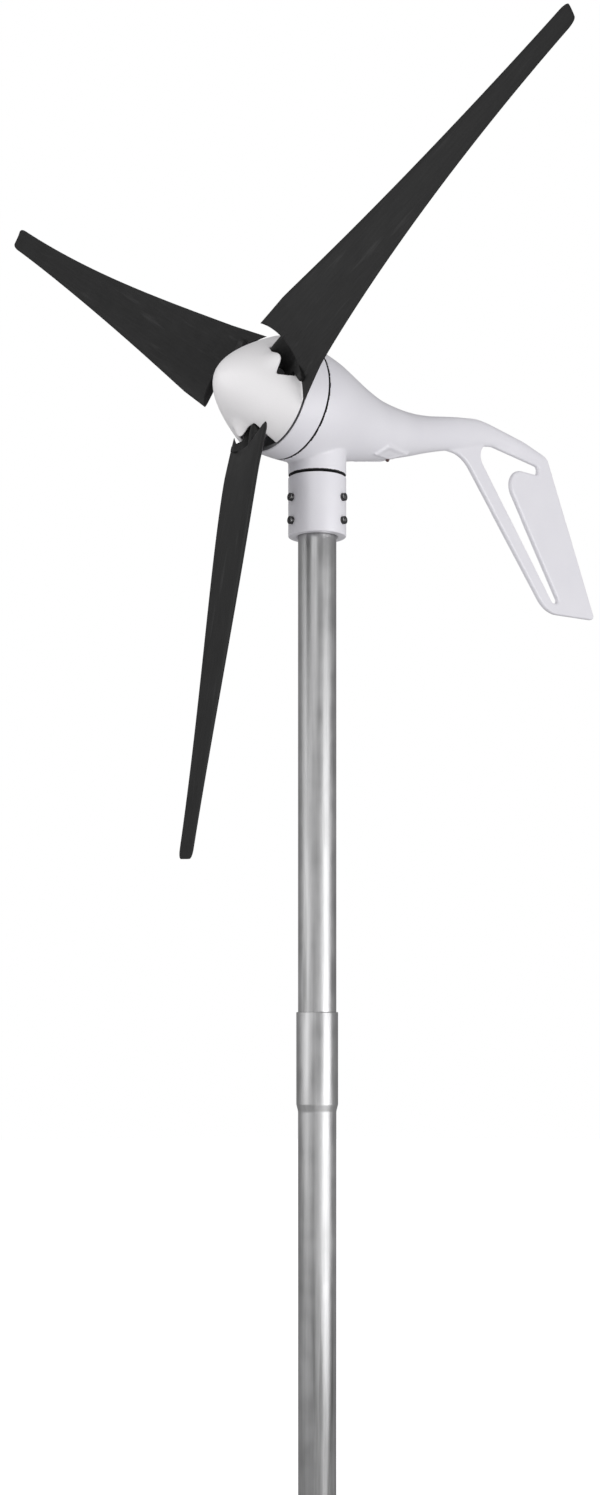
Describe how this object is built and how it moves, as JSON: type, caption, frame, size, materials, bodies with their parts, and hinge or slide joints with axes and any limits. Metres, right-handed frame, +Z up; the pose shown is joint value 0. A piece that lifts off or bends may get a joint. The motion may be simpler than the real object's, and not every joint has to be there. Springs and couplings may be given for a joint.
{
  "type": "micro wind turbine",
  "caption": "Small horizontal-axis wind turbine head with blades, nose cone and tail fin, turning on a two-piece tube mast.",
  "frame": {"origin": "centre of the mast's foot", "axes": "+Z up the mast, the nose towards -Y, +X to the right seen from the front"},
  "size_m": [1.0277, 0.7268, 1.7788],
  "materials": {
    "galvanised_tube": "galvanised, drawn along the tube",
    "white_paint": "satin white powder coat on a casting",
    "white_plastic": "satin white moulding",
    "blade_plastic": "matt black fibre-filled moulding",
    "dark_steel": "black oxide",
    "bright_steel": "turned steel",
    "bearing_steel": "ground",
    "laminations": "stacked sheet",
    "copper": "enamelled copper wire",
    "magnet": "nickel plated",
    "plain_aluminium": "machined",
    "brass": "turned",
    "black_rubber": "matt",
    "black_plastic": "matt",
    "carbon": "sintered carbon",
    "board": "solder mask",
    "red_lens": "clear red moulding"
  },
  "bodies": {
    "mast": {"lower_mast_tube": "galvanised_tube", "upper_mast_tube": "galvanised_tube", "yaw_collar": "white_paint", "collar_screws": "dark_steel", "yaw_shaft": "bright_steel", "yaw_bearing_spacer": "bright_steel", "retaining_ring": "bright_steel", "slip_ring_hub": "black_plastic", "slip_rings": "brass", "yaw_lower_inner_race": "bearing_steel", "yaw_upper_inner_race": "bearing_steel", "yaw_lower_balls": "bearing_steel", "yaw_upper_balls": "bearing_steel"},
    "nacelle": {"body_casting": "white_paint", "face_casting": "white_paint", "face_gasket": "black_rubber", "face_screws": "dark_steel", "bearing_carrier": "plain_aluminium", "carrier_screws": "dark_steel", "stator_core": "laminations", "stator_windings": "copper", "shaft_seal": "black_rubber", "wave_washer": "bright_steel", "front_outer_race": "bearing_steel", "rear_outer_race": "bearing_steel", "yaw_lower_outer_race": "bearing_steel", "yaw_upper_outer_race": "bearing_steel", "yaw_seal": "black_rubber", "circuit_board": "board", "board_screws": "dark_steel", "rectifier": "black_plastic", "capacitors": "black_plastic", "brush_holder": "black_plastic", "holder_screws": "dark_steel", "status_light": "red_lens", "brush_spring_1": "bright_steel", "brush_spring_2": "bright_steel", "brush_spring_3": "bright_steel"},
    "rotor": {"rotor_shaft": "bright_steel", "magnet_carrier": "bright_steel", "magnets": "magnet", "front_inner_race": "bearing_steel", "rear_inner_race": "bearing_steel", "front_balls": "bearing_steel", "rear_balls": "bearing_steel", "hub_plate": "plain_aluminium", "hub_washer": "bright_steel", "hub_nut": "bright_steel", "blade_1": "blade_plastic", "blade_2": "blade_plastic", "blade_3": "blade_plastic", "blade_bolts": "dark_steel", "blade_washers": "bright_steel", "blade_nuts": "bright_steel", "nose_cone": "white_plastic"},
    "brush_1": {"brush_1": "carbon"},
    "brush_2": {"brush_2": "carbon"},
    "brush_3": {"brush_3": "carbon"}
  },
  "joints": [
    {"name": "yaw", "type": "hinge", "parent": "mast", "child": "nacelle", "pos_m": [0, 0, 1.44], "axis": [0, 0, 1], "continuous": true},
    {"name": "rotor_spin", "type": "hinge", "parent": "nacelle", "child": "rotor", "pos_m": [0, 0, 1.44], "axis": [0, -0.9966, 0.0828], "continuous": true},
    {"name": "brush_1_slide", "type": "slide", "parent": "nacelle", "child": "brush_1", "axis": [0, 1, 0], "range_m": [0, 0.006], "stiffness_N_per_m": 60, "springref_m": -0.012, "deforming": ["brush_spring_1"]},
    {"name": "brush_2_slide", "type": "slide", "parent": "nacelle", "child": "brush_2", "axis": [0, 1, 0], "range_m": [0, 0.006], "stiffness_N_per_m": 60, "springref_m": -0.012, "deforming": ["brush_spring_2"]},
    {"name": "brush_3_slide", "type": "slide", "parent": "nacelle", "child": "brush_3", "axis": [0, 1, 0], "range_m": [0, 0.006], "stiffness_N_per_m": 60, "springref_m": -0.012, "deforming": ["brush_spring_3"]}
  ]
}
